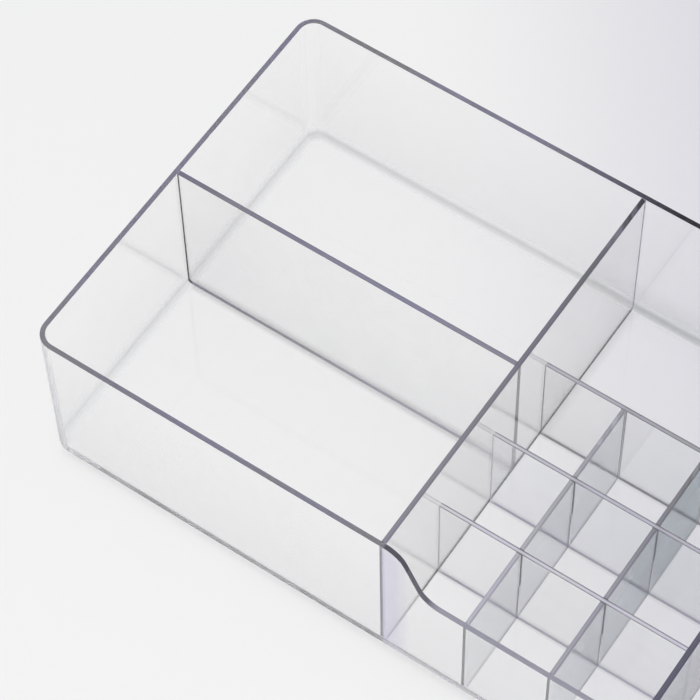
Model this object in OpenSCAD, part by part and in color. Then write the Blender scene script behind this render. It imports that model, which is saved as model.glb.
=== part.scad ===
// Clear desk-top vanity organizer: a moulded tray with a low stretch of front wall,
// a full-height divider, two long bays on the left, nine lipstick cells in a lapped
// grid, a bay behind the grid and a full-depth bay on the right.
// The origin is on the surface that it stands on, under the middle of the tray.
// +X runs along the tray from the long bays, +Y from the front to the back, +Z up.

/* [Tray] */
// Height of the tray from its underside to the rim
tray_h = 66; // [50:0.5:90]
// Thickness of the outer walls
wall_t = 1.7; // [1.2:0.1:2.6]
// Thickness of the floor
floor_t = 1.8; // [1.2:0.1:3]
// Outer radius of the upright corners at the rim
corner_r = 6.9; // [5:0.1:10]
// Radius inside the tray, where the floor runs up into the outer walls
floor_fillet_r = 1.3; // [0.6:0.1:2.5]
// Radius outside, where the outer walls turn under
base_r = 0.6; // [0.3:0.1:1]
// Draft of every moulded wall face, in degrees
draft = 0.3; // [0:0.05:0.6]

/* [Bays] */
// Clear length of the two long bays at the rim
left_bay_w = 129.2; // [90:0.2:180]
// Clear depth of the front long bay at the rim
front_bay_d = 74; // [50:0.5:95]
// Clear length of the right bay at the rim
right_bay_w = 60; // [50:0.5:120]
// Clear depth of the bay behind the grid, at the height of the grid
rear_bay_d = 57.3; // [45:0.1:90]

/* [Low front] */
// Radius of both bends where a top edge swings between the rim and the low height
curve_r = 8.5; // [4:0.5:8.5]
// Length that such a swing takes
curve_run = 20.4; // [18:0.2:24]
// Straight top edge left before a swing begins
curve_lead = 0.7; // [0.3:0.1:2]

/* [Grid] */
// Height of the grid and of the low front wall above the underside
grid_h = 45.2; // [32:0.2:48]
// Clear width of a cell along the tray, at the top of the grid
cell_w = 28.6; // [22:0.1:36]
// Clear depth of a cell from front to back, at the top of the grid
cell_d = 28.95; // [22:0.05:36]
// Thickness of a grid panel at its top edge
grid_t = 1.6; // [1.2:0.1:2.4]

/* [Dividers] */
// Thickness of a full-height divider at the rim
divider_t = 1.7; // [1.2:0.1:2.6]
// Thickness of the bond line where a panel is cemented in
bond_gap = 0.05; // [0.02:0.01:0.1]
// Side clearance of the lapped slots where grid panels cross
lap_gap = 0.05; // [0.03:0.01:0.15]

/* [Feet] */
// Height of the feet
foot_h = 1.2; // [0.8:0.1:3]
// Width of the ridge that makes a foot
foot_w = 1.4; // [1:0.1:2.6]
// Length of each leg of a corner foot, from the corner
corner_foot_len = 14.5; // [10:0.5:24]
// Length of the short feet beside the main divider
short_foot_len = 5.5; // [4:0.5:10]

/* [Hidden] */
clear_tint = [0.88, 0.89, 0.92];
panel_tint = [0.82, 0.83, 0.88];
foot_tint = [0.90, 0.91, 0.93];
// How far every cut runs past the faces that it opens
overrun = 1;
// Straight steps in a quarter bend
arc_steps = 8;
$fn = 64;

// Half thickness at height z of an upright panel that is t thick at its top edge
function panel_half(t, top, z) = t / 2 + (top - z) * tan(draft);
// How far an outer wall has leant in at height z
function lean(z) = (tray_h - z) * tan(draft);
// Place of an outer wall's inner face at height z, in a tray of half size half
function inner_face(half, z) = half - wall_t - lean(z);

// Thicknesses at the top of the grid
divider_half_at_grid = panel_half(divider_t, tray_h, grid_h);
wall_at_grid = wall_t + lean(grid_h);

// Overall size at the rim
tray_len = wall_t + left_bay_w + divider_t / 2 + divider_half_at_grid + cell_w * 3 + grid_t * 2
    + divider_half_at_grid + divider_t / 2 + right_bay_w + wall_t;
tray_depth = wall_at_grid + (cell_d + grid_t) * 3 + rear_bay_d + wall_at_grid;
half_len = tray_len / 2;
half_depth = tray_depth / 2;

// Places of the upright panels' middle planes
main_x = -half_len + wall_t + left_bay_w + divider_t / 2;
column_x = [for (i = [1 : 2]) main_x + divider_half_at_grid + i * cell_w + (i - 1 / 2) * grid_t];
end_x = column_x[1] + grid_t / 2 + cell_w + divider_half_at_grid;
row_y = [for (i = [1 : 3]) -half_depth + wall_at_grid + i * cell_d + (i - 1 / 2) * grid_t];
partition_y = -half_depth + wall_t + front_bay_d + divider_t / 2;

// The lapped slots of rows and columns meet halfway up the panels
lap_z = (floor_t + grid_h) / 2;
panel_bottom = floor_t + bond_gap;

// Centre of the inside fillet, measured outwards from the axis of an upright corner
fillet_u = corner_r - wall_t
    - (floor_fillet_r + (tray_h - floor_t - floor_fillet_r) * sin(draft)) / cos(draft);
fillet_z = floor_t + floor_fillet_r;
// Centre of the bend under an outer wall, measured the same way
base_u = corner_r - (base_r + (tray_h - base_r) * sin(draft)) / cos(draft);

// Points of an arc about the centre c from angle a to angle b
function arc(c, r, a, b) =
    [for (i = [0 : arc_steps]) let (t = a + (b - a) * i / arc_steps) c + r * [cos(t), sin(t)]];

// Upright section of an outer wall with its strip of floor, outwards from a corner's axis
wall_section = concat(
    [[0, 0]],
    arc([base_u, base_r], base_r, -90, -draft),
    [[corner_r, tray_h], [corner_r - wall_t, tray_h]],
    arc([fillet_u, fillet_z], floor_fillet_r, -draft, -90),
    [[0, floor_t]]);

// Steepest slope of a swing of length run and height drop
function swing_angle(run, drop) =
    asin(2 * curve_r / norm([run, drop - 2 * curve_r])) + atan2(drop - 2 * curve_r, run);
// Points of a swing from the high edge at [0, 0] down to the low edge at [run, -drop]
function swing(run, drop) = let (a = swing_angle(run, drop)) concat(
    arc([0, -curve_r], curve_r, 90, 90 - a),
    arc([run, curve_r - drop], curve_r, 270 - a, 270));
// The same points seen from the other side, in reverse order so that an outline runs on
function mirrored(points) = [for (i = [len(points) - 1 : -1 : 0]) [-points[i][0], points[i][1]]];
function moved(points, by) = [for (p = points) p + by];

// Lower end of a panel that reaches an outer wall on the positive side, from floor to wall
function wall_end(half) =
    arc([half - corner_r + fillet_u, fillet_z], floor_fillet_r - bond_gap, -90, -draft);
function wall_point(half, z) = [inner_face(half, z) - bond_gap / cos(draft), z];
// Point at height z on the face of a panel that another panel butts against
function butt_point(at, t, top, side, z) = [at + side * (panel_half(t, top, z) + bond_gap), z];

// Draws a panel's outline across the tray, solid from -X to +X
module across(points) {
    rotate([90, 0, 90]) linear_extrude(tray_len, center = true) polygon(points);
}
// Draws a panel's outline along the tray, solid from front to back
module along(points) {
    rotate([90, 0, 0]) linear_extrude(tray_depth, center = true) polygon(points);
}
// Drafted thickness of a panel that stands at a place
function thickness(at, t, top) = [
    [at - panel_half(t, top, 0), 0], [at + panel_half(t, top, 0), 0],
    [at + t / 2, top], [at - t / 2, top]];

// The full-height outline of a divider that runs from the front wall to the back wall
divider_foot = wall_end(half_depth);
divider_outline = concat(
    mirrored(divider_foot), divider_foot,
    [wall_point(half_depth, tray_h)],
    mirrored([wall_point(half_depth, tray_h)]));

drop = tray_h - grid_h;
swing_points = swing(curve_run, drop);
// The low front stretch begins after the main divider and ends before the right corner
low_start = main_x + curve_lead;
low_end = half_len - corner_r - curve_lead;
// The end divider swings up behind the rear row of the grid
rise_start = row_y[2] + grid_t / 2 + curve_lead;

module outer_tray() {
    axis_x = half_len - corner_r;
    axis_y = half_depth - corner_r;
    // The opening above the low stretch of the front wall
    low_edge = concat(
        [[low_start, tray_h + overrun]],
        moved(swing_points, [low_start, tray_h]),
        moved(mirrored(swing_points), [low_end, tray_h]),
        [[low_end, tray_h + overrun]]);
    color(clear_tint) translate([0, 0, foot_h]) difference() {
        union() {
            translate([-axis_x, -axis_y, 0]) cube([2 * axis_x, 2 * axis_y, floor_t]);
            for (i = [0 : 3]) rotate(90 * i) {
                x = i % 2 == 0 ? axis_x : axis_y;
                y = i % 2 == 0 ? axis_y : axis_x;
                translate([-x, y, 0]) rotate([90, 0, 90]) linear_extrude(2 * x) polygon(wall_section);
                translate([x, y, 0]) rotate_extrude(angle = 90) polygon(wall_section);
            }
        }
        translate([0, -half_depth + wall_at_grid + overrun, 0]) rotate([90, 0, 0])
            linear_extrude(wall_at_grid + 2 * overrun) polygon(low_edge);
    }
}

module main_divider() {
    color(panel_tint) translate([0, 0, foot_h]) intersection() {
        across(divider_outline);
        along(thickness(main_x, divider_t, tray_h));
    }
}

// Full height at the back, with a swing down to the height of the grid
module end_divider() {
    outline = concat(
        mirrored(divider_foot), divider_foot,
        [wall_point(half_depth, tray_h)],
        [for (p = swing_points) [rise_start + curve_run - p[0], tray_h + p[1]]],
        mirrored([wall_point(half_depth, grid_h)]));
    color(panel_tint) translate([0, 0, foot_h]) intersection() {
        across(outline);
        along(thickness(end_x, divider_t, tray_h));
    }
}

// Splits the space left of the main divider into the two long bays
module left_partition() {
    outline = concat(
        [butt_point(main_x, divider_t, tray_h, -1, panel_bottom)],
        [butt_point(main_x, divider_t, tray_h, -1, tray_h)],
        mirrored([wall_point(half_len, tray_h)]),
        mirrored(wall_end(half_len)));
    color(panel_tint) translate([0, 0, foot_h]) intersection() {
        along(outline);
        across(thickness(partition_y, divider_t, tray_h));
    }
}

// A row panel butts against both dividers and is slotted from below for the columns
module grid_row(y) {
    outline = [
        butt_point(main_x, divider_t, tray_h, 1, panel_bottom),
        butt_point(end_x, divider_t, tray_h, -1, panel_bottom),
        butt_point(end_x, divider_t, tray_h, -1, grid_h),
        butt_point(main_x, divider_t, tray_h, 1, grid_h)];
    low = panel_half(grid_t, grid_h, 0) + lap_gap;
    high = panel_half(grid_t, grid_h, lap_z) + lap_gap;
    color(panel_tint) translate([0, 0, foot_h]) difference() {
        intersection() {
            along(outline);
            across(thickness(y, grid_t, grid_h));
        }
        if (y < row_y[2]) for (x = column_x)
            along([[x - low, 0], [x + low, 0], [x + high, lap_z + lap_gap], [x - high, lap_z + lap_gap]]);
    }
}

// A column panel runs from the front wall to the rear row and is slotted from above
module grid_column(x) {
    rear = row_y[2];
    outline = concat(
        mirrored(wall_end(half_depth)),
        [butt_point(rear, grid_t, grid_h, -1, panel_bottom)],
        [butt_point(rear, grid_t, grid_h, -1, grid_h)],
        mirrored([wall_point(half_depth, grid_h)]));
    slot = panel_half(grid_t, grid_h, lap_z) + lap_gap;
    color(panel_tint) translate([0, 0, foot_h]) difference() {
        intersection() {
            across(outline);
            along(thickness(x, grid_t, grid_h));
        }
        for (y = [row_y[0], row_y[1]])
            across([[y - slot, lap_z - lap_gap], [y + slot, lap_z - lap_gap],
                    [y + slot, grid_h + overrun], [y - slot, grid_h + overrun]]);
    }
}

// The flat part of the underside ends this far inside the rim
flat_inset = corner_r - base_u;

// A foot under a corner of the tray: a ridge that follows the walls, with rounded ends
module corner_foot(side_x, side_y) {
    outline = concat(
        arc([base_u, base_u], base_u, 180, 270),
        arc([corner_foot_len - foot_w / 2, foot_w / 2], foot_w / 2, -90, 90),
        arc([base_u, base_u], base_u - foot_w, 270, 180),
        arc([foot_w / 2, corner_foot_len - foot_w / 2], foot_w / 2, 0, 180));
    color(foot_tint)
        mirror([side_x > 0 ? 1 : 0, 0, 0]) mirror([0, side_y > 0 ? 1 : 0, 0])
        translate([flat_inset - half_len, flat_inset - half_depth, 0])
        linear_extrude(foot_h - bond_gap) polygon(outline);
}

// A short ridge under the front or the back wall, just past the main divider
module short_foot(side_y) {
    outline = concat(
        arc([short_foot_len - foot_w / 2, 0], foot_w / 2, -90, 90),
        arc([foot_w / 2, 0], foot_w / 2, 90, 270));
    color(foot_tint)
        translate([main_x + panel_half(divider_t, tray_h, 0),
                   side_y * (half_depth - flat_inset - foot_w / 2), 0])
        linear_extrude(foot_h - bond_gap) polygon(outline);
}

module grid_row_front() grid_row(row_y[0]);
module grid_row_middle() grid_row(row_y[1]);
module grid_row_rear() grid_row(row_y[2]);
module grid_column_left() grid_column(column_x[0]);
module grid_column_right() grid_column(column_x[1]);
module foot_front_left() corner_foot(-1, -1);
module foot_front_middle() short_foot(-1);
module foot_front_right() corner_foot(1, -1);
module foot_rear_left() corner_foot(-1, 1);
module foot_rear_middle() short_foot(1);
module foot_rear_right() corner_foot(1, 1);

outer_tray();
main_divider();
left_partition();
end_divider();
grid_row_front();
grid_row_middle();
grid_row_rear();
grid_column_left();
grid_column_right();
foot_front_left();
foot_front_middle();
foot_front_right();
foot_rear_left();
foot_rear_middle();
foot_rear_right();
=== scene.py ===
# %% [markdown]
# # A clear desk-top organizer
# The real object is a moulded tray of clear plastic with upright panels in it. The tray, panels and
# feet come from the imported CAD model, in metres, and this script gives them their looks. Loading the
# frame first means that every later piece goes exactly where the CAD says.

# %% Load the frame
import math

import bmesh
import bpy
from mathutils import Euler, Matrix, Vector


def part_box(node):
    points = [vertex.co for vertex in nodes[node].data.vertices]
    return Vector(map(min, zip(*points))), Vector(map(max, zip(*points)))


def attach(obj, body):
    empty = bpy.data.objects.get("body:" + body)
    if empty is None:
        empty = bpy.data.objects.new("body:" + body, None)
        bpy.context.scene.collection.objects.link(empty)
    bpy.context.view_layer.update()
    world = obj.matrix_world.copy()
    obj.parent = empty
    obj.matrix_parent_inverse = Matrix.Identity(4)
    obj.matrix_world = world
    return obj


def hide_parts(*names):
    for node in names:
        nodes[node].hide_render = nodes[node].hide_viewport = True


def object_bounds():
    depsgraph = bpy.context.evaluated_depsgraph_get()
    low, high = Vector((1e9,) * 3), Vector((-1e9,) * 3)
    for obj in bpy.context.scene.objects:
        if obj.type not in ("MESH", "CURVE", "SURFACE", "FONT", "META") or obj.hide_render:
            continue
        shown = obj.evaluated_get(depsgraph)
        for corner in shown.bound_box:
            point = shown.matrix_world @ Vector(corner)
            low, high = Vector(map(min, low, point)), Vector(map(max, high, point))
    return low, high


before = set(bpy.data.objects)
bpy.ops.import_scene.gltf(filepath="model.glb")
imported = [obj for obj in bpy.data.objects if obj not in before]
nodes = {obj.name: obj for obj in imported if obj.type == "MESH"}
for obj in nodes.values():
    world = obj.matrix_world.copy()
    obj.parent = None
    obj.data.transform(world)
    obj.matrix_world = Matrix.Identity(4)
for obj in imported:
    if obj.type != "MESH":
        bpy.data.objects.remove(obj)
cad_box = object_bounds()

MM = 0.001
scene = bpy.context.scene
print("CAD box:", [round(c / MM, 1) for corner in cad_box for c in corner], "mm")

# %% [markdown]
# ## The camera
# The photograph looks down on the front left part of the tray through a long lens. The camera's place,
# turn and focal length were worked out from the straight edges in the picture: parallel edges of the
# tray meet at three vanishing points, and those fix a camera. It needs no shift.

# %% Camera
CAMERA_PLACE = (0.240939, -0.443717, 0.916793)
CAMERA_TURN = (31.1908, 0.7198, 34.2323)
FOCAL_LENGTH = 164.198
SENSOR = 36
NEAREST, FURTHEST = 0.01, 50

camera = bpy.data.objects.new("camera", bpy.data.cameras.new("camera"))
scene.collection.objects.link(camera)
camera.location = CAMERA_PLACE
camera.rotation_euler = Euler([math.radians(angle) for angle in CAMERA_TURN], "XYZ")
camera.data.lens = FOCAL_LENGTH
camera.data.sensor_width = SENSOR
camera.data.clip_start, camera.data.clip_end = NEAREST, FURTHEST
scene.camera = camera
scene.view_settings.view_transform = "Standard"
print("camera looks from", tuple(round(c, 3) for c in camera.location))

# %% [markdown]
# ## Shader maths as Python
# A material is a graph of nodes. Written link by link it is hard to read, so a small class wraps a
# socket: an expression on it adds the Math node that the expression says. Every other node comes from
# one method, which first sets the node's settings and then gives its sockets values or links. A colour
# is written as three numbers, and that method adds the fourth, which is its opacity.

# %% Sockets with operators
class Value:
    """A number that varies over a surface."""

    def __init__(self, graph, socket):
        self.graph, self.socket = graph, socket

    def maths(self, operation, *others, swap=False):
        terms = [self, *others]
        if swap:
            terms.reverse()
        return self.graph.node("ShaderNodeMath", {"operation": operation}, dict(enumerate(terms)))[0]

    def __add__(self, other): return self.maths("ADD", other)
    def __radd__(self, other): return self.maths("ADD", other)
    def __sub__(self, other): return self.maths("SUBTRACT", other)
    def __rsub__(self, other): return self.maths("SUBTRACT", other, swap=True)
    def __mul__(self, other): return self.maths("MULTIPLY", other)
    def __rmul__(self, other): return self.maths("MULTIPLY", other)
    def __truediv__(self, other): return self.maths("DIVIDE", other)
    def __rtruediv__(self, other): return self.maths("DIVIDE", other, swap=True)
    def __abs__(self): return self.maths("ABSOLUTE")
    def __lt__(self, other): return self.maths("LESS_THAN", other)
    def __gt__(self, other): return self.maths("GREATER_THAN", other)
    def most(self, other): return self.maths("MAXIMUM", other)
    def root(self): return self.maths("SQRT")

    def ramp(self, start, end):
        """0 before start, 1 past end, and a soft change between them."""
        settings = {"interpolation_type": "SMOOTHSTEP"}
        sockets = {"Value": self, "From Min": start, "From Max": end}
        return self.graph.node("ShaderNodeMapRange", settings, sockets)[0]

    def fade(self, start, end):
        """1 before start, 0 past end, and a soft change between them."""
        return 1 - self.ramp(start, end)


class Graph:
    """The nodes of a material or of the world."""

    def __init__(self, owner):
        owner.use_nodes = True
        self.tree = owner.node_tree
        self.tree.nodes.clear()

    def node(self, kind, settings=None, sockets=None):
        made = self.tree.nodes.new(kind)
        for name, value in (settings or {}).items():
            setattr(made, name, value)
        for name, value in (sockets or {}).items():
            socket = made.inputs[name]
            if isinstance(value, Value):
                self.tree.links.new(value.socket, socket)
            else:
                socket.default_value = (*value, 1) if socket.type == "RGBA" else value
        return Outputs(self, made)

    def blend(self, factor, first, second):
        """Two shaders, the second by the factor."""
        return self.node("ShaderNodeMixShader", {}, {0: factor, 1: first, 2: second})[0]

    def colours(self, factor, first, second):
        """Two colours, the second by the factor."""
        return self.node("ShaderNodeMix", {"data_type": "RGBA"}, {0: factor, 6: first, 7: second})[2]


class Outputs:
    """A node's outputs, by name or number."""

    def __init__(self, graph, made):
        self.graph, self.made = graph, made

    def __getitem__(self, name):
        return Value(self.graph, self.made.outputs[name])

print("shader maths is ready")

# %% [markdown]
# ## The table and the light
# The object stands on a plain pale table that runs out of the picture on all sides. One wide disc
# does that. Behind the object on the right the table turns a little darker and cooler, because less
# studio light falls there, and that shade is painted into the table's colour. Soft light from everywhere,
# which the world gives, and one large lamp leave the faint shadow on the table.

# %% Table
TABLE_RADIUS, TABLE_SEGMENTS = 6, 96
TABLE_GAP = 0.2 * MM
TABLE_COLOUR = (0.87, 0.87, 0.872)
TABLE_SHADE_COLOUR = (0.684, 0.675, 0.734)
SHADE_TOWARDS_BACK_RIGHT = (0.83, 0.56)
TABLE_SHADE_TURNS = (-50 * MM, 110 * MM)

def new_piece(name, bm):
    mesh = bpy.data.meshes.new(name)
    bm.to_mesh(mesh)
    bm.free()
    piece = bpy.data.objects.new(name, mesh)
    scene.collection.objects.link(piece)
    return piece

def matt(graph, colour):
    """A surface with no gloss of its own."""
    return graph.node("ShaderNodeBsdfPrincipled", {}, {
        "Base Color": colour, "Roughness": 1.0, "Specular IOR Level": 0.0})[0]

bm = bmesh.new()
bmesh.ops.create_circle(bm, cap_ends=True, radius=TABLE_RADIUS, segments=TABLE_SEGMENTS)
bmesh.ops.translate(bm, verts=bm.verts, vec=(0, 0, -TABLE_GAP))
table = new_piece("table", bm)

paint = bpy.data.materials.new("table_with_painted_shade")
graph = Graph(paint)
space = graph.node("ShaderNodeTexCoord")
at = graph.node("ShaderNodeSeparateXYZ", {}, {0: space["Object"]})
# painted shade: darker and cooler towards the back right, where less studio light falls
shade_away = SHADE_TOWARDS_BACK_RIGHT[0] * at[0] + SHADE_TOWARDS_BACK_RIGHT[1] * at[1]
shaded = matt(graph, graph.colours(shade_away.ramp(*TABLE_SHADE_TURNS), TABLE_COLOUR, TABLE_SHADE_COLOUR))
graph.node("ShaderNodeOutputMaterial", {}, {"Surface": shaded})
table.data.materials.append(paint)
print("table:", len(table.data.polygons), "face")

# %% [markdown]
# The lamp is left out of reflections and of what is seen through the plastic, because the real
# studio's lights don't show in the photograph either. Rays that reach the camera by a mirror or through
# the plastic see a backdrop as bright as the table, and soft light comes from a slightly darker sky.

# %% World and lamp
SKY, BACKDROP = 0.8, 0.87
WHITE = (1, 1, 1)
LAMP_PLACE = (1.0, -1.6, 2.6)
LAMP_SIZE = 2.0
LAMP_POWER = 32.0

world = bpy.data.worlds.new("studio")
scene.world = world
graph = Graph(world)
ray = graph.node("ShaderNodeLightPath")
seen = ray["Is Camera Ray"].most(ray["Is Glossy Ray"]).most(ray["Is Transmission Ray"])
light = graph.node("ShaderNodeBackground", {}, {"Color": WHITE, "Strength": SKY})
backdrop = graph.node("ShaderNodeBackground", {}, {"Color": WHITE, "Strength": BACKDROP})
graph.node("ShaderNodeOutputWorld", {}, {"Surface": graph.blend(seen, light[0], backdrop[0])})

lamp = bpy.data.objects.new("lamp", bpy.data.lights.new("lamp", "AREA"))
scene.collection.objects.link(lamp)
lamp.data.shape, lamp.data.size, lamp.data.energy = "DISK", LAMP_SIZE, LAMP_POWER
lamp.location = LAMP_PLACE
lamp.rotation_euler = (-Vector(LAMP_PLACE)).to_track_quat("-Z", "Y").to_euler()
lamp.visible_glossy = lamp.visible_transmission = False
print("lamp of", LAMP_POWER, "W over", LAMP_SIZE, "m")

# %% [markdown]
# ## Paths of light
# A ray that enters a panel by its edge is mirrored many times between its two faces before it comes out.
# That is why the edges of clear plastic look dark and coloured. The renderer gets enough bounces for it.

# %% Paths of light
BOUNCES = 24

paths = scene.cycles
paths.max_bounces = paths.glossy_bounces = paths.transmission_bounces = BOUNCES
paths.transparent_max_bounces = 2 * BOUNCES
paths.caustics_reflective = False
print("up to", BOUNCES, "bounces, so that light can run inside a panel")

# %% [markdown]
# ## The clear plastic
# The real pieces are clear polystyrene, which is nearly colourless through a thin wall and violet-grey
# through a long path. Three things make it here: a glass-like surface whose body absorbs a little
# light, a faint tint that runs from one end of a piece to the other with cloudy patches in it, and a
# trace of haze. The tint and a darkening towards the foot of each piece are partly painted shade, for the
# darker side of the studio and the shade near the floor. A path tracer could find all soft light by
# refraction alone, but that would leave noise and heavy shadows. So soft light and shadow rays pass
# straight through, as they do on average through a thin pane. Dark lines and glints that come from
# cement, tiny rounds and light inside the panels are thin films over the glass, placed by where a point
# lies on the object; all but the cement are painted light and shade.

# %% Clear plastic
PLASTIC_IOR, ROUGHNESS = 1.5, 0.035
INSIDE, DENSITY = (0.30, 0.26, 0.42), 6.0
HAZE, HAZE_LEAST, HAZE_COLOUR = 0.02, 0.5, (0.9, 0.9, 0.905)
PATCH_SCALE, MOTTLE_SCALE, NOISE_DETAIL, NOISE_EDGES = 18.0, 45.0, 2.0, (0.35, 0.65)
COOL_SHADE, VIOLET_SHADE = (0.43, 0.49, 0.49), (0.48, 0.44, 0.51)
SHADE_LOW_DOWN, SHADE_MOTTLED = 1.4, 0.6
DIMMED = (0.15, 0.15, 0.16)
COLOURLESS = (WHITE, WHITE)

def neutral(grey):
    return grey, 0.985 * grey, 1.04 * grey

def violet(grey):
    return grey, 0.95 * grey, 1.4 * grey

class Plastic:
    """The start of every finish: clear plastic with its places and directions."""

    def __init__(self, name, box, along, tint_and_shade, shade=0.05):
        low, high = box
        self.made = bpy.data.materials.new("clear_" + name)
        graph = self.graph = Graph(self.made)
        space = graph.node("ShaderNodeTexCoord")
        self.at = graph.node("ShaderNodeSeparateXYZ", {}, {0: space["Object"]})
        self.facing = graph.node("ShaderNodeSeparateXYZ", {}, {0: space["Normal"]})
        self.run = self.at[along].ramp(low[along], high[along])

        def clouds(scale):
            sockets = {"Vector": space["Object"], "Detail": NOISE_DETAIL, "Scale": scale}
            return graph.node("ShaderNodeTexNoise", {}, sockets)[0].ramp(*NOISE_EDGES)

        self.patches, mottle = clouds(PATCH_SCALE), clouds(MOTTLE_SCALE)
        # painted shade: the plastic turns a little darker towards the foot of the piece; the mottle is
        # cloudy tone of its own
        painted_shade_below = self.at[2].fade(low[2], high[2])
        dusk = graph.colours(self.patches, COOL_SHADE, VIOLET_SHADE)
        dusky = shade * (SHADE_LOW_DOWN * painted_shade_below + SHADE_MOTTLED * mottle)
        # the tint along the piece is partly painted shade, for the darker side of the studio
        glass = graph.node("ShaderNodeBsdfPrincipled", {}, {
            "Base Color": graph.colours(dusky, graph.colours(self.run, *tint_and_shade), dusk),
            "Roughness": ROUGHNESS, "IOR": PLASTIC_IOR, "Transmission Weight": 1.0})[0]
        self.surface = graph.blend(HAZE * (HAZE_LEAST + mottle), glass, matt(graph, HAZE_COLOUR))

    def tone(self, start, end, least=0.0, most=1.0):
        """A dark tone that changes along the piece, with violet patches."""
        colours = self.graph.colours
        plain = colours(self.run, neutral(start), neutral(end))
        patches = least + (most - least) * self.patches
        return colours(patches, plain, colours(self.run, violet(start), violet(end)))

    def film(self, factor, colour):
        self.surface = self.graph.blend(factor, self.surface, matt(self.graph, colour))

    def let_through(self, passed, dimmed=0):
        """Soft light and shadow rays pass as through a thin pane, and dimmer where it says."""
        graph = self.graph
        ray = graph.node("ShaderNodeLightPath")
        clear = graph.node("ShaderNodeBsdfTransparent", {}, {"Color": (passed, passed, passed)})[0]
        dim = graph.node("ShaderNodeBsdfTransparent", {}, {"Color": DIMMED})[0]
        self.surface = graph.blend(ray["Is Diffuse Ray"], self.surface, graph.blend(dimmed, clear, dim))
        self.surface = graph.blend(ray["Is Shadow Ray"], self.surface, clear)

    def finish(self):
        body = self.graph.node("ShaderNodeVolumeAbsorption", {}, {"Color": INSIDE, "Density": DENSITY})
        self.graph.node("ShaderNodeOutputMaterial", {}, {"Surface": self.surface, "Volume": body[0]})
        return self.made

    def count(self):
        return str(len(self.graph.tree.nodes)) + " nodes so far"

print("plastic bends light by", PLASTIC_IOR, "and has a haze of", HAZE)

# %% [markdown]
# ### The tray
# The tray is one moulding. Each of the next cells lays films over its plastic. They could be pieces of
# their own, but a real tray has nothing there, so they belong to the finish. Places are measured from
# the outside of the tray, whose middle is the origin, and from the boxes of the panels, so that a film
# stays where it belongs if the CAD's sizes change.

# %% The tray's plastic
FRONT, BACK, SIDE = cad_box[0][1], cad_box[1][1], cad_box[1][0]
FLOOR_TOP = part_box("left_partition")[0][2]
DIVIDER = sum(corner[0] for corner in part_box("main_divider")) / 2
END = sum(corner[0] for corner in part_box("end_divider")) / 2
TRAY_SHADE = 0.01

tray = Plastic("tray", cad_box, 0, COLOURLESS, TRAY_SHADE)
at, facing, colours = tray.at, tray.facing, tray.graph.colours
right_of_divider = at[0] > DIVIDER
print("the tray's plastic:", tray.count())

# %% [markdown]
# The rim is the tray's darkest part, because it looks down into the walls. It is nearly black at the
# back on the right and on the S-shaped swings of the front wall, and pale along the low front. Light
# that runs inside the walls does this in reality, and a film gives its tone without the noise.

# %% The tray's rim
RIM_FACES_UP, RIM_BOTTOM, LOW_FRONT_TOP = 0.25, 40 * MM, 60 * MM
SWING_HEIGHTS, SWING_ENDS, SWING_FOOT = (46 * MM, 48 * MM), (0.3 * MM, 1.5 * MM), (-4 * MM, 14 * MM)
DARK_BACK, DARK_RIGHT = (BACK - 40 * MM, BACK - 6 * MM), (-60 * MM, 10 * MM)
RIM_TONE, LOW_RIM, DARKEST = (0.17, 0.17), (0.5, 0.49, 0.54), (0.01, 0.01, 0.015)
LOW_RIM_SHARE, SWING_FOOT_SHARE, SWING_SHARE, BACK_SHARE = 0.35, 0.7, 0.55, 0.92
RIM_COVER, DARK_COVER = 0.85, 0.12

rim = (facing[2] > RIM_FACES_UP) * (at[2] > RIM_BOTTOM)
low_front = at[2] < LOW_FRONT_TOP
between_dividers = (END - DIVIDER) / 2 - abs(at[0] - (DIVIDER + END) / 2)
swing = at[2].ramp(*SWING_HEIGHTS) * (at[1] < 0) * between_dividers.ramp(*SWING_ENDS)
swing = swing.most(low_front * at[0].fade(*SWING_FOOT) * SWING_FOOT_SHARE)
back_right = at[1].ramp(*DARK_BACK) * at[0].ramp(*DARK_RIGHT)
tone = colours(low_front * LOW_RIM_SHARE, tray.tone(*RIM_TONE), LOW_RIM)
tone = colours((BACK_SHARE * back_right).most(SWING_SHARE * swing), tone, DARKEST)
tray.film((RIM_COVER + DARK_COVER * back_right.most(swing)) * rim, tone)
print("rim:", tray.count())

# %% [markdown]
# Right beside a panel's foot the floor is a little darker, because the panel takes some of its light.
# How far a point is from a panel comes from the panel's box. Left of the main divider only the
# partition does this, and right of it the grid's rows and, behind the grid, the divider itself.

# %% The floor beside the panels
BESIDE_PARTITION, BESIDE_ROW, BESIDE_DIVIDER = (0.4, 2.6 * MM), (0.22, 1.3 * MM), (0.2, 4 * MM)
BESIDE_COLOUR = (0.3, 0.295, 0.31)
ON_FLOOR = 0.2 * MM

def beside(name, strength, reach):
    """How dark the floor is along a panel's foot."""
    low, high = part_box(name)
    gaps = [abs(at[axis] - (low[axis] + high[axis]) / 2) - (high[axis] - low[axis]) / 2 for axis in (0, 1)]
    return strength * gaps[0].most(gaps[1]).fade(0, reach)

behind_grid = right_of_divider * (at[1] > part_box("grid_row_rear")[1][1])
darker = (at[0] < DIVIDER) * beside("left_partition", *BESIDE_PARTITION)
for row in ("grid_row_front", "grid_row_middle", "grid_row_rear"):
    darker = darker.most(beside(row, *BESIDE_ROW))
darker = darker.most(behind_grid * beside("main_divider", *BESIDE_DIVIDER))
tray.film(darker * (abs(at[2] - FLOOR_TOP) < ON_FLOOR), BESIDE_COLOUR)
print("floor:", tray.count())

# %% [markdown]
# The round where walls meet floor bends light and reads as a soft grey line round the inside. It is
# thin on the floor, runs higher up the wall, and is darkest in the bay behind the grid. Its distance
# from the walls is taken to a rounded corner, so that it turns the tray's inner corners softly.

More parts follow.
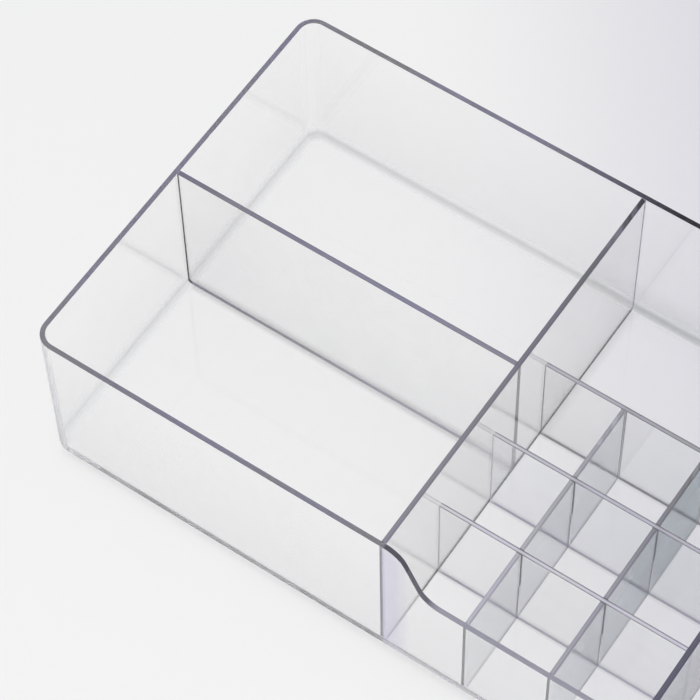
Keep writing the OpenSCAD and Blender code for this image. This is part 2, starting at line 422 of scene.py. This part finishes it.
# %% The soft line round the inside
INNER_CORNER = 5 * MM
WALL_AT_SIDE, WALL_AT_BACK = SIDE - 2.5 * MM, BACK - 2.3 * MM
INTO_WALL, UNDER_FLOOR, BEHIND, HIGHER = -1.1 * MM, 0.5 * MM, 6 * MM, 5 * MM
CLIMB_SHARE, LINE_COVER = 0.33, 0.95
CORE_ENDS, LINE_ENDS = (0.1 * MM, 1.6 * MM), (0.95 * MM, 2.25 * MM)
CORE_LEFT, CORE_BACK, CORE_BAY = (0.74, 0.74, 0.75), (0.66, 0.66, 0.67), (0.49, 0.505, 0.51)
SOFT, SOFT_HIGHER = (0.81, 0.81, 0.82), (0.90, 0.90, 0.905)
SOFT_BAY, SOFT_BAY_HIGHER = (0.74, 0.745, 0.755), (0.82, 0.825, 0.835)

past_side = (abs(at[0]) - (WALL_AT_SIDE - INNER_CORNER)).most(0)
past_back = (at[1] - (WALL_AT_BACK - INNER_CORNER)).most(0)
from_wall = INNER_CORNER - (past_side * past_side + past_back * past_back).root()
climb = (at[2] - FLOOR_TOP).most(0)
from_round = from_wall.most(0) + CLIMB_SHARE * climb
inside = (from_wall > INTO_WALL) * (at[2] > FLOOR_TOP - UNDER_FLOOR)
behind = at[1] > BACK - BEHIND
in_bay = behind * right_of_divider
higher = climb.ramp(0, HIGHER)
core = colours(in_bay, colours(behind, CORE_LEFT, CORE_BACK), CORE_BAY)
soft = colours(in_bay, colours(higher, SOFT, SOFT_HIGHER), colours(higher, SOFT_BAY, SOFT_BAY_HIGHER))
line = colours(from_round.ramp(*CORE_ENDS), core, soft)
tray.film(LINE_COVER * inside * from_round.fade(*LINE_ENDS), line)
print("soft line:", tray.count())

# %% [markdown]
# A painted shade makes the walls a trace darker lower down, most of all the front and back ones, and
# the back of the middle bay greyest at its foot. The first centimetres of the front wall right of the
# divider look lavender, because the lavender end of the divider stands behind them.

# %% Walls, with painted shade
NEAR_OUTSIDE = 3 * MM
BAY_SHADE, BAY_SHADE_COLOUR, BAY_SHADE_HEIGHT = 0.2, (0.55, 0.565, 0.58), 20 * MM
LOW_WALL_SHADE, LOW_WALL_SHADE_MORE, LOW_WALL_SHADE_COLOUR, LOW_WALL_SHADE_HEIGHT, UPRIGHT = 0.04, 0.035, (0.45, 0.455, 0.465), 75 * MM, 0.4
LAVENDER_SHARE, LAVENDER_WALL, LAVENDER_RUN = 0.24, (0.58, 0.56, 0.73), (-7 * MM, 0)
FRONT_WALL = FRONT + 2.2 * MM

# painted shade: the back of the middle bay greys towards its foot
bay_back = (at[1] > BACK - NEAR_OUTSIDE) * right_of_divider
tray.film(BAY_SHADE * (bay_back * at[2].fade(FLOOR_TOP, FLOOR_TOP + BAY_SHADE_HEIGHT)), BAY_SHADE_COLOUR)
# painted shade: the walls turn a trace darker lower down, more at the front and back
lower_wall_shade = (1 - at[2] / LOW_WALL_SHADE_HEIGHT) * (abs(facing[2]) < UPRIGHT) * (at[2] > FLOOR_TOP)
tray.film((LOW_WALL_SHADE + LOW_WALL_SHADE_MORE * (abs(at[1]) > BACK - NEAR_OUTSIDE)) * lower_wall_shade, LOW_WALL_SHADE_COLOUR)
by_divider = (at[1] < FRONT_WALL) * right_of_divider * at[0].fade(*LAVENDER_RUN)
tray.film(LAVENDER_SHARE * by_divider * (1 - rim), LAVENDER_WALL)
print("walls:", tray.count())

# %% [markdown]
# Outside, a pale line of painted light runs along the foot of the front wall beside the grid, and a thin
# grey line of painted shade marks the underside along the front and back, where the round under the
# edge bends light away and the table beneath lies in shadow. The two front corners show as soft upright
# lines of painted shade, where their rounds bend the light, on the inner faces only low down, so that
# nothing pale shows just under the rim. The round under the tray's edge also dims the soft light that
# it lets through to the table.

# %% Outer lines of painted light and shade
FOOT_LIGHT, FOOT_LIGHT_COLOUR, FOOT_WALL = 0.5, (0.72, 0.71, 0.75), FRONT + 2 * MM
FOOT_LIGHT_HEIGHT, FOOT_LIGHT_RUN = (3.8 * MM, 5 * MM), (-16 * MM, -4 * MM)
CORNER_STARTS, CORNER_FULL, CORNER_SHADE, CORNER_RIGHT = 7 * MM, 2.5 * MM, 0.6, 0.5
CORNER_SHADE_HIGH, CORNER_SHADE_LOW, CORNER_TURNS = (0.66, 0.655, 0.70), (0.55, 0.545, 0.57), (2 * MM, 25 * MM)
LOOKS_BACK, INNER_BELOW, BELOW_RIM = 0.1, (40 * MM, 60 * MM), 66.5 * MM
BASE_SHADE, BASE_SHADE_CORE = (0.2, 1.4 * MM, 2.2 * MM), (0.3, 1.25 * MM, 1.5 * MM)
BASE_SHADE_COLOUR, BASE_OUTSIDE, BASE_RIGHT = (0.3, 0.29, 0.34), 1.3 * MM, 0.7
DIM_OUTSIDE, DIM_HEIGHT = 1.05 * MM, 1.45 * MM

# painted light: a pale line along the foot of the front wall beside the grid
foot_light = (at[1] < FOOT_WALL) * at[2].fade(*FOOT_LIGHT_HEIGHT) * at[0].ramp(*FOOT_LIGHT_RUN)
tray.film(FOOT_LIGHT * foot_light, FOOT_LIGHT_COLOUR)

# painted shade: soft upright lines at the front corners, where their rounds bend the light
corner = (abs(at[0]).ramp(SIDE - CORNER_STARTS, SIDE - CORNER_FULL)
          * abs(at[1]).ramp(BACK - CORNER_STARTS, BACK - CORNER_FULL))
shown = (facing[1] < LOOKS_BACK).most(at[2].fade(*INNER_BELOW))
shown = shown * (at[1] < 0) * (1 - CORNER_RIGHT * (at[0] > 0)) * (at[2] < BELOW_RIM)
tray.film(CORNER_SHADE * corner * shown, colours(at[2].fade(*CORNER_TURNS), CORNER_SHADE_HIGH, CORNER_SHADE_LOW))

# painted shade: a thin grey line along the underside at the front and back
base_shade = sum(share * at[2].fade(start, end) for share, start, end in (BASE_SHADE, BASE_SHADE_CORE))
base_shade = base_shade * (abs(at[1]) > BACK - BASE_OUTSIDE) * (1 - BASE_RIGHT * at[0].ramp(*FOOT_LIGHT_RUN))
tray.film(base_shade, BASE_SHADE_COLOUR)

outwards = (abs(at[0]) > SIDE - DIM_OUTSIDE).most(abs(at[1]) > BACK - DIM_OUTSIDE)
tray.let_through(1, outwards * (at[2] < DIM_HEIGHT))
finishes = {"outer_tray": tray.finish()}
print("outer lines:", tray.count())

# %% [markdown]
# ### The panels
# Each panel is a sheet with a polished top edge that is cemented along its foot and ends. The edge gets a
# painted dark tone for the light that runs inside the panel, with a fine dark line of painted shade along
# its two sides, where its rounds bend the light away, and on some panels more painted shade at its far
# end.
# The bond under the panel and the cement at its ends show as thin dark lines through the plastic, and only
# the part of an end that is wetted by cement is dark; the cement at the foot also carries a painted shade.
# Where a panel of the grid crosses another one, the half lap shows as a grey upright line.

# %% The panels' finish
DRAFT = math.tan(math.radians(0.3))
PANEL_PASSES = 0.98
TOP_FACES_UP, TOP_ABOVE = 0.25, 10 * MM
LINE_RIGHT, LINE_LEFT, BLACK = 0.5 * MM, 0.25 * MM, (0, 0, 0)
FAR_RUN, FAR_SHADE_TONE = (20 * MM, 5 * MM), (0.02, 0.02, 0.025)
CEMENT_HUE, SEAT_CEMENT_AND_SHADE_HEIGHT = (0.1, 0.5), 0.8 * MM
SIDE_FACES, END_FACES, UPRIGHT_FACES = 0.8, 0.5, 0.2
LAP_WIDEST, LAP_INSIDE, LAP_PLAY, LAP_COVER, LAP_TONE = 5 * MM, 1 * MM, 0.05 * MM, 0.5, 0.12
BOTTOM_FILM, END_DEPTH, END_FOOT = 0.1 * MM, 1.6 * MM, 3 * MM

def laps(name, low, high, along):
    """Where a panel of the grid crosses others: half of each lap's width and its place."""
    for other in PANELS:
        start, end = (corner[along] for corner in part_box(other))
        width, place = end - start, (start + end) / 2
        within = low[along] + LAP_INSIDE < place < high[along] - LAP_INSIDE
        if name.startswith("grid") and other.startswith("grid") and width < LAP_WIDEST and within:
            yield width / 2 + LAP_PLAY, place

def panel_finish(name, edge, cover, line, hue, bond, joint, dark, pale, tint_and_shade, shade, foot=0.3, far=0):
    low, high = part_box(name)
    along = 0 if high[0] - low[0] > high[1] - low[1] else 1
    middle, half = (low[along] + high[along]) / 2, (high[along] - low[along]) / 2
    centre, thick = (low[1 - along] + high[1 - along]) / 2, (high[1 - along] - low[1 - along]) / 2
    plastic = Plastic(name, (low, high), along, tint_and_shade, shade)
    at, facing, colours = plastic.at, plastic.facing, plastic.graph.colours
    across = at[1 - along] - centre

    top = (abs(facing[2]) > TOP_FACES_UP) * (at[2] > low[2] + TOP_ABOVE)
    top_half = thick - DRAFT * (high[2] - low[2])
    edge_line = (across > top_half - LINE_RIGHT).most(-1 * across > top_half - LINE_LEFT)
    # painted shade: the top edge's dark tone stands in for light running inside the panel, with fine dark
    # lines where its rounds bend light away
    tone = colours(edge_line * line, plastic.tone(*edge, *hue), BLACK)
    # painted shade: the top edge darkens towards its far end
    far_end_shade = far * at[along].ramp(high[along] - FAR_RUN[0], high[along] - FAR_RUN[1])
    plastic.film(cover * top, colours(far_end_shade, tone, FAR_SHADE_TONE))

    cement = plastic.tone(*bond, *CEMENT_HUE)
    # cement at the foot, with a painted shade on the lowest part of the panel
    plastic.film(foot * at[2].fade(low[2], low[2] + SEAT_CEMENT_AND_SHADE_HEIGHT), cement)
    for lap_half, place in laps(name, low, high, along):
        crossing = (abs(at[along] - place) < lap_half) * (abs(facing[1 - along]) > SIDE_FACES)
        plastic.film(LAP_COVER * crossing, neutral(LAP_TONE))

    bottom = at[2] < low[2] + BOTTOM_FILM
    upright = (abs(facing[2]) < UPRIGHT_FACES).most(at[2] < FLOOR_TOP + END_FOOT)
    end = (abs(at[along] - middle) > half - END_DEPTH) * (abs(facing[1 - along]) < END_FACES) * upright
    cemented = (across > dark[0] * MM) * (across < dark[1] * MM)
    plastic.film(bottom.most(end), colours(end, cement, colours(cemented, pale, neutral(joint))))
    plastic.let_through(PANEL_PASSES)
    return plastic.finish()

print("panels taper by", round(DRAFT, 4), "mm a side for each mm of height")

# %% [markdown]
# ### One finish for each piece
# The panels differ in tone across the photograph: those further right look through more plastic and
# into a darker side of the studio, so their edges and faces are darker and cooler. One table keeps
# these tones side by side, which makes them easy to compare. The feet are plain clear plastic.
#
# A pair of tones or tints is for a panel's start and its end. The entries are: edge, painted dark tones
# of the top edge; cover, how much they cover; line, how dark the fine painted lines beside the edge are;
# hue, its least and most violet; bond, tones of the cement under the panel; joint, the tone of the cement
# on its ends; dark, from where to where across an end that cement runs, in mm; pale, the colour beside it;
# tint_and_shade, the panel's colour together with the painted shade of the darker side of the studio;
# shade, how cloudy it is and how much painted shade darkens it lower down; foot, how much the cement and
# its painted shade show through the panel's foot; and far, how much painted shade darkens the top edge
# at its far end.

# %% Finishes of the pieces
PALE, LAVENDER = (0.68, 0.68, 0.71), (0.60, 0.57, 0.70)
WHOLE_END, LEFT_OF_END = (-2, 2), (-0.8, 0.15)
PANELS = {
    "main_divider": dict(
        edge=(0.28, 0.15), cover=0.8, line=0.15, hue=(0.3, 1), bond=(0.05, 0.015), joint=0.02,
        dark=(-0.9, 0.15), pale=LAVENDER, tint_and_shade=((0.98, 0.975, 0.97), (1, 1, 0.995)), shade=0.03,
        foot=0.8, far=0.7),
    "left_partition": dict(
        edge=(0.21, 0.23), cover=0.8, line=0.15, hue=(0.3, 1), bond=(0.19, 0.36), joint=0.01,
        dark=WHOLE_END, pale=PALE, tint_and_shade=((0.97, 0.97, 0.965), (0.98, 0.98, 0.975)), shade=0.06),
    "end_divider": dict(
        edge=(0.12, 0.10), cover=0.8, line=0.15, hue=(0.3, 1), bond=(0.11, 0.08), joint=0.05,
        dark=WHOLE_END, pale=PALE, tint_and_shade=((0.85, 0.89, 0.92), (0.92, 0.93, 0.95)), shade=0.05),
    "grid_row_front": dict(
        edge=(0.76, 0.70), cover=0.6, line=0.7, hue=(0, 0.3), bond=(0.30, 0.37), joint=0.42,
        dark=WHOLE_END, pale=PALE, tint_and_shade=((0.965, 0.965, 0.965), (0.955, 0.965, 0.96)), shade=0.05),
    "grid_row_middle": dict(
        edge=(0.64, 0.54), cover=0.6, line=0.65, hue=(0, 0.3), bond=(0.32, 0.33), joint=0.5,
        dark=WHOLE_END, pale=PALE, tint_and_shade=((0.95, 0.955, 0.975), (0.85, 0.875, 0.875)), shade=0.06),
    "grid_row_rear": dict(
        edge=(0.56, 0.34), cover=0.6, line=0.5, hue=(0, 0.3), bond=(0.21, 0.17), joint=0.26,
        dark=WHOLE_END, pale=PALE, tint_and_shade=((0.93, 0.93, 0.93), (0.90, 0.92, 0.915)), shade=0.06),
    "grid_column_left": dict(
        edge=(0.54, 0.40), cover=0.7, line=0.25, hue=(0, 0.3), bond=(0.25, 0.2), joint=0.04,
        dark=LEFT_OF_END, pale=PALE, tint_and_shade=((0.865, 0.885, 0.905), (0.825, 0.85, 0.87)), shade=0.06),
    "grid_column_right": dict(
        edge=(0.42, 0.22), cover=0.7, line=0.25, hue=(0, 0.3), bond=(0.2, 0.16), joint=0.04,
        dark=LEFT_OF_END, pale=PALE, tint_and_shade=((0.85, 0.885, 0.92), (0.38, 0.485, 0.52)), shade=0.06),
}

for name in nodes:
    if name in PANELS:
        finishes[name] = panel_finish(name, **PANELS[name])
    elif name not in finishes:
        foot_plastic = Plastic(name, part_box(name), 0, COLOURLESS)
        foot_plastic.let_through(1)
        finishes[name] = foot_plastic.finish()
print(len(finishes), "finishes")

# %% [markdown]
# ## The moulded pieces
# The CAD meshes are exact but have razor-sharp upper edges, and the real ones are rounded by polishing.
# Each piece is a copy of its CAD node with doubled points merged and flat triangles joined, and then
# its sharp upper edges are bevelled by a fifth of a millimetre. Weighted normals keep the flat faces flat
# beside the rounds. The feet are too small for this and stay as they are.

# %% Moulded pieces
EDGE_ROUND, EDGE_SEGMENTS, EDGE_PROFILE = 0.18 * MM, 3, 0.5
SAME_POINT, FLAT_ANGLE = 1e-6, math.radians(0.2)
SHARP_ANGLE, SMOOTH_ANGLE = math.radians(50), math.radians(30)
UPPER_FACES_UP, UPPER_ABOVE_FLOOR = 0.35, 10 * MM

def upper_edges(bm):
    """The sharp edges of a rim or of a panel's top."""
    return [edge for edge in bm.edges if len(edge.link_faces) == 2
            and edge.calc_face_angle() > SHARP_ANGLE
            and max(face.normal.z for face in edge.link_faces) > UPPER_FACES_UP
            and min(vert.co.z for vert in edge.verts) > FLOOR_TOP + UPPER_ABOVE_FLOOR]

def moulded(name):
    """A copy of a CAD node with its loose triangles merged and its sharp upper edges rounded."""
    bm = bmesh.new()
    bm.from_mesh(nodes[name].data)
    bmesh.ops.remove_doubles(bm, verts=bm.verts, dist=SAME_POINT)
    bmesh.ops.dissolve_limit(bm, angle_limit=FLAT_ANGLE, verts=bm.verts, edges=bm.edges)
    if not name.startswith("foot"):
        bmesh.ops.bevel(bm, geom=upper_edges(bm), offset=EDGE_ROUND, offset_type="OFFSET",
                        affect="EDGES", segments=EDGE_SEGMENTS, profile=EDGE_PROFILE, material=-1,
                        clamp_overlap=True)
    for face in bm.faces:
        face.smooth = True
    return bm

for name in list(nodes):
    piece = new_piece(name + "_piece", moulded(name))
    piece.data.set_sharp_from_angle(angle=SMOOTH_ANGLE)
    weighted = piece.modifiers.new("flat faces stay flat", "WEIGHTED_NORMAL")
    weighted.keep_sharp = True
    piece.data.materials.append(finishes[name])
    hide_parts(name)
    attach(piece, "root")
    print(name, len(piece.data.vertices), "points", len(piece.data.polygons), "faces")
